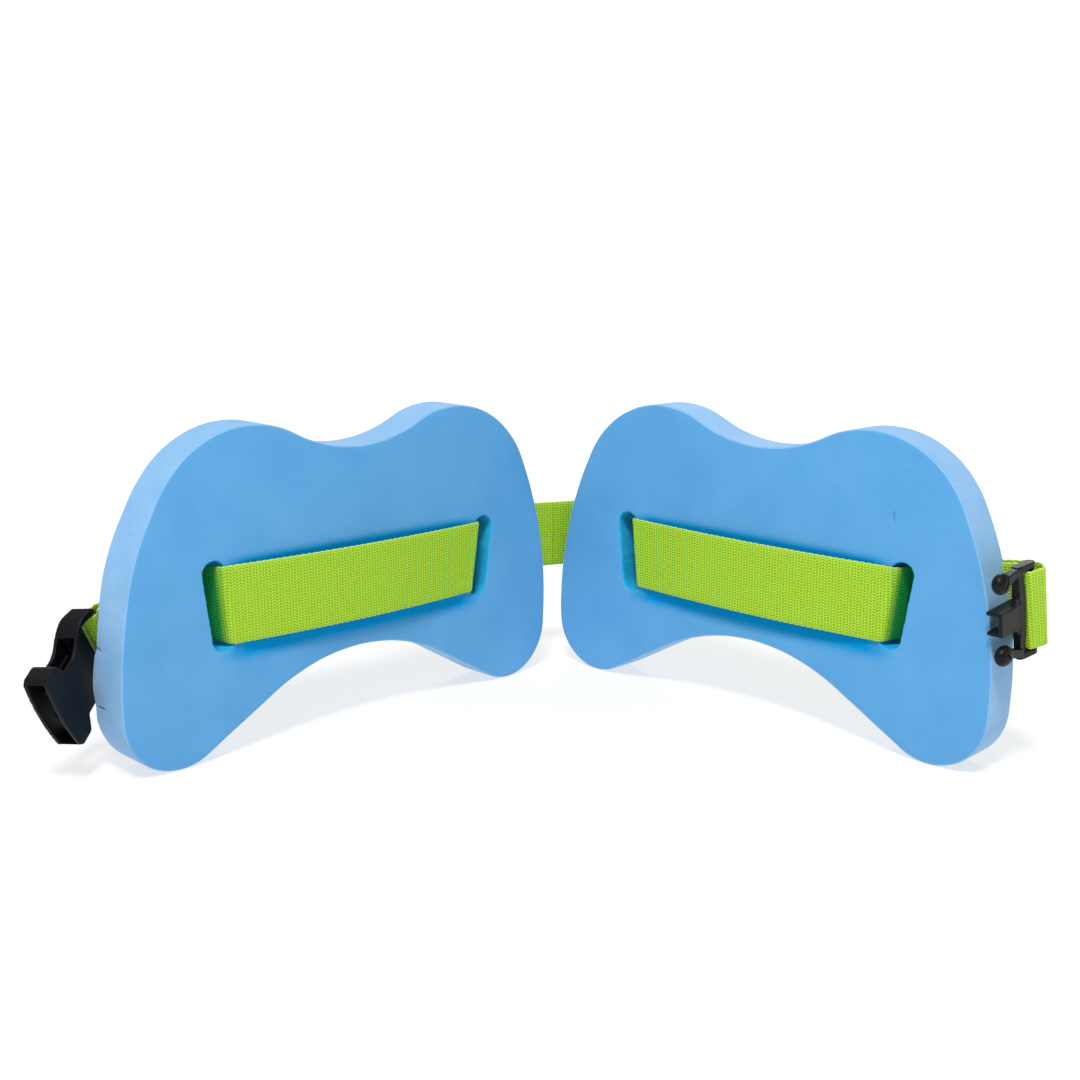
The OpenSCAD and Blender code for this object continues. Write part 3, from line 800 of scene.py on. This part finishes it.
# ---------------------------------------------------------------- buckle
def disc(x, y, radius, steps=32):
    return [(x + radius * math.cos(2 * math.pi * i / steps), y + radius * math.sin(2 * math.pi * i / steps))
            for i in range(steps)]


def moulded(name, body, steps, place, voxel, rounds):
    """Joins and cuts solids in order, then rounds every edge as a mould would."""
    thing = temporary(body)
    for operation, solid in steps:
        combine(thing, operation, temporary(solid))
    grid = thing.modifiers.new("grid", "REMESH")
    grid.mode, grid.voxel_size = "VOXEL", voxel * MM
    smooth = thing.modifiers.new("round", "SMOOTH")
    smooth.factor, smooth.iterations = 0.5, rounds
    apply_all(thing)
    thing.name = thing.data.name = name
    move(thing, place)
    thing.data.materials.clear()
    thing.data.materials.append(PLASTIC)
    thing.data.polygons.foreach_set("use_smooth", [True] * len(thing.data.polygons))
    return thing


def both(half):
    """A closed outline from the half above the middle line."""
    return half + [(x, -z) for x, z in reversed(half)]


def neck_side(x):
    return NECK / 2 + (BUCKLE - NECK) / 4 * (1 + math.cos(math.pi * (x - 4) / 20))


def build_socket():
    """The hollow half: a necked sleeve with a bar for the strap loop, and guide ribs inside."""
    collar, half_mouth, half_thick = SOCKET_LENGTH - COLLAR, MOUTH / 2, SOCKET_THICK / 2
    mouth_steps = [half_mouth - 2 - 1.5 * i for i in range(12)]
    plan = both([(-3.4, BUCKLE / 2 - 3), (-0.4, BUCKLE / 2)] + [(x, neck_side(x)) for x in range(4, 25)]
                + [(collar - 4, NECK / 2), (collar - 0.4, half_mouth - 0.7), (collar + 1.4, half_mouth),
                   (SOCKET_LENGTH - MOUTH_BOW - 2, half_mouth)]
                + [(SOCKET_LENGTH - MOUTH_BOW * (z / half_mouth) ** 2, z) for z in mouth_steps])
    side_view = [(-4, 0.6), (-1.5, -1.8), (3, -3.4), (8, 1 - half_thick), (14, -half_thick),
                 (SOCKET_LENGTH + 1, -half_thick), (SOCKET_LENGTH + 1, half_thick), (10, half_thick),
                 (5, half_thick + 1), (1.5, half_thick + 2.2), (-1.5, half_thick + 2.2), (-4, half_thick)]
    side_view = [(x, y - SINK) for x, y in side_view]
    opening, inner = HALF_WEB + 0.8, half_thick - WALL
    throat = half_mouth - WALL
    cavity = both([(10.5, throat - 4.7), (14, throat), (SOCKET_LENGTH + 2, throat)])
    face, far = half_thick - SINK, 20
    steps = [("INTERSECT", prism(side_view, -30, 30, "Z")),
             ("DIFFERENCE", prism(cavity, -inner - SINK, inner - SINK))]
    round_the_bar = [((2.4, 8.4), (-far, far)), ((-7, -2.2), (-far, far)),
                     ((-2.6, 2.6), (2.2, far)), ((-2.6, 2.6), (-far, -2.2))]
    steps += [("DIFFERENCE", block(x, y, (-opening, opening))) for x, y in round_the_bar]
    steps += [("DIFFERENCE", prism(disc(34.3, z, 1.3), face - 0.35, face + 2)) for z in (6, -6)]
    steps += [("UNION", block((13, 37), y, z))
              for y in ((-inner - SINK - 0.4, -inner - SINK + 1.1), (inner - SINK - 1.1, inner - SINK + 0.4))
              for z in ((6.6, 7.8), (-7.8, -6.6))]
    return moulded("buckle_socket_half", prism(plan, -far, far), steps, at_socket, 0.36, 9)


def build_plug():
    """The male half without its arms: a bowed yoke, two end rails, a bar for the strap and a guide."""
    half, rail = BUCKLE / 2 - 0.5, HALF_WEB + 0.6
    rail_view = [(-2.4, -1.0), (-1.4, -2.4), (0.6, -2.9), (8.0, -3.0), (9.8, -2.3), (10.6, -0.8), (10.2, 0.8),
                 (8.6, 1.7), (0.6, 2.6), (-1.4, 2.3), (-2.4, 1.0)]
    yoke = [(1.7 - 1.4 * (z / half) ** 2, z) for z in range(-22, 23, 2)] + [(-2.7, 22), (-2.7, -22)]
    yoke_from, yoke_to = 5.6, 10.2
    guide = (yoke_from, GUIDE_REACH)
    steps = [("UNION", prism(disc(0, 0, 2.1), -half + 1, half - 1, "Z")),
             ("UNION", prism(rail_view, rail, half, "Z")),
             ("UNION", prism(rail_view, -half, -rail, "Z")),
             ("UNION", block(guide, (-0.4, 1.6), [GUIDE_SHIFT + s * GUIDE_HEIGHT / 2 for s in (-1, 1)]))]
    for s in (-1, 1):
        web_edge = GUIDE_SHIFT + s * GUIDE_HEIGHT / 2
        z = sorted((web_edge, web_edge - s * 1.8))
        steps.append(("UNION", block(guide, (1.6 - GUIDE_DEPTH, 0.6), z)))
        flare = [(9, web_edge - s), (9, web_edge + s * 6), (10.6, web_edge + s * 3.2), (13, web_edge + s),
                 (17, web_edge - s)]
        steps.append(("UNION", prism(flare, -1.2, 1.2)))
    return moulded("buckle_plug_half", prism(yoke, yoke_from, yoke_to, "X"), steps, at_plug, 0.3, 6)


def ball(centre, radii, steps=28):
    """A closed ellipsoid."""
    points, faces = [], []
    for i in range(1, steps):
        a = math.pi * i / steps
        for j in range(steps):
            b = 2 * math.pi * j / steps
            points.append((centre[0] + radii[0] * math.sin(a) * math.cos(b),
                           centre[1] + radii[1] * math.sin(a) * math.sin(b),
                           centre[2] + radii[2] * math.cos(a)))
    for i in range(steps - 2):
        for j in range(steps):
            m = (j + 1) % steps
            faces.append([i * steps + j, i * steps + m, (i + 1) * steps + m, (i + 1) * steps + j])
    faces.append(list(range(steps)))
    faces.append([(steps - 2) * steps + j for j in range(steps - 1, -1, -1)])
    return points, faces


def arm(name, s):
    """A slender sprung stem that widens into a rounded head with a step along it."""
    top = s * ARM_OFFSET + 1.1
    stem = [(8.5, s * 17.4), (8.5, s * 22.0), (13, top + s * 4.0), (18, top + s * 3.0), (21, top + s * 2.4),
            (21, top - s * 2.4), (17.5, top - s * 1.4), (13, top + s * 0.2)]
    step = [(18.9, top + s * 5.5), (19.9, top + s * 5.5), (25.2, top - s * 3.5), (24.2, top - s * 3.5)]
    head = ball((22.0, 0, top + s * 0.4), (5.4, 3.7, 4.9))
    return moulded(name, prism(stem, -1.9, 1.9), [
        ("UNION", head),
        ("DIFFERENCE", prism(step, 2.6, 6)),
        ("DIFFERENCE", prism(step, -6, -2.6)),
    ], at_plug, 0.24, 5)


for thing, body, node in ((build_socket(), "socket", "buckle_socket"), (build_plug(), "plug", "buckle_plug"),
                          (arm("plug_arm_upper", 1), "upper_arm", "plug_upper_arm"),
                          (arm("plug_arm_lower", -1), "lower_arm", "plug_lower_arm")):
    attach(thing, body)
    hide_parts(node)


# ---------------------------------------------------------------- floor, light, camera
def lay_floor():
    """A pale floor that fades to white away from the object. It glows: painted light, weaker near the object
    so that the shade around it stays.
    """
    bpy.ops.mesh.primitive_plane_add(size=14, location=(0, 0, -0.0002))
    floor = bpy.context.object
    floor.name = "studio_floor"
    n = Nodes("studio_floor")
    n.shader.inputs["Base Color"].default_value = (0.36, 0.36, 0.36, 1)
    n.shader.inputs["Emission Color"].default_value = (1, 1, 1, 1)
    # Painted light: the floor glows, from 0.64 near the object up to 1.0 from 0.75 m out.
    away = n.add("ShaderNodeVectorMath", operation="LENGTH")
    n.feed(away.inputs[0], n.coords.outputs["Object"])
    n.feed(n.shader.inputs["Emission Strength"], n.ramp(away.outputs["Value"], 0.22, 0.75, 0.64, 1.0))
    n.shader.inputs["Roughness"].default_value = 0.9
    n.shader.inputs["Specular IOR Level"].default_value = 0.1
    floor.data.materials.append(n.material)


def light_scene():
    """A white backdrop, an even sky and three soft lights."""
    world = bpy.data.worlds.new("studio")
    bpy.context.scene.world = world
    world.use_nodes = True
    nodes, link = world.node_tree.nodes, world.node_tree.links.new
    sky = nodes["Background"]
    sky.inputs["Color"].default_value = (1, 1, 1, 1)
    sky.inputs["Strength"].default_value = 0.44
    backdrop = nodes.new("ShaderNodeBackground")
    backdrop.inputs["Color"].default_value = (1, 1, 1, 1)
    seen = nodes.new("ShaderNodeLightPath")
    choice = nodes.new("ShaderNodeMixShader")
    link(seen.outputs["Is Camera Ray"], choice.inputs[0])
    link(sky.outputs[0], choice.inputs[1])
    link(backdrop.outputs[0], choice.inputs[2])
    link(choice.outputs[0], nodes["World Output"].inputs[0])

    def softbox(name, spot, aim, size, power):
        light = bpy.data.lights.new(name, "AREA")
        light.shape, light.size, light.energy = "DISK", size, power
        thing = bpy.data.objects.new(name, light)
        bpy.context.collection.objects.link(thing)
        thing.location = spot
        thing.rotation_euler = (Vector(aim) - Vector(spot)).to_track_quat("-Z", "Y").to_euler()

    softbox("key_light", (-0.15, -1.0, 1.7), (0, 0, 0.08), 0.45, 29)
    softbox("back_light", (0.3, 1.6, 1.2), (0, 0, 0.08), 0.8, 11)
    softbox("side_light", (1.6, -0.15, 0.22), (0.15, 0, 0.08), 0.6, 1.4)
    bpy.context.scene.view_settings.view_transform = "Standard"


def place_camera(eye, yaw, pitch, roll):
    """Angles in radians: yaw from straight ahead along +Y, pitch downwards, and roll of the picture."""
    ahead = Vector((math.sin(yaw) * math.cos(pitch), math.cos(yaw) * math.cos(pitch), -math.sin(pitch)))
    level = Vector((math.cos(yaw), -math.sin(yaw), 0))
    upward = level.cross(ahead)
    image_right = level * math.cos(roll) + upward * math.sin(roll)
    image_up = upward * math.cos(roll) - level * math.sin(roll)
    lens = bpy.data.cameras.new("camera")
    lens.lens, lens.sensor_width, lens.clip_start = 46.38, 36, 0.01
    camera = bpy.data.objects.new("camera", lens)
    bpy.context.collection.objects.link(camera)
    turned = Matrix((image_right, image_up, -ahead)).transposed().to_4x4()
    camera.matrix_world = Matrix.Translation(eye) @ turned
    bpy.context.scene.camera = camera


lay_floor()
light_scene()
place_camera((-0.00303, -0.69006, 0.24040), yaw=-0.008, pitch=0.210, roll=0.019)
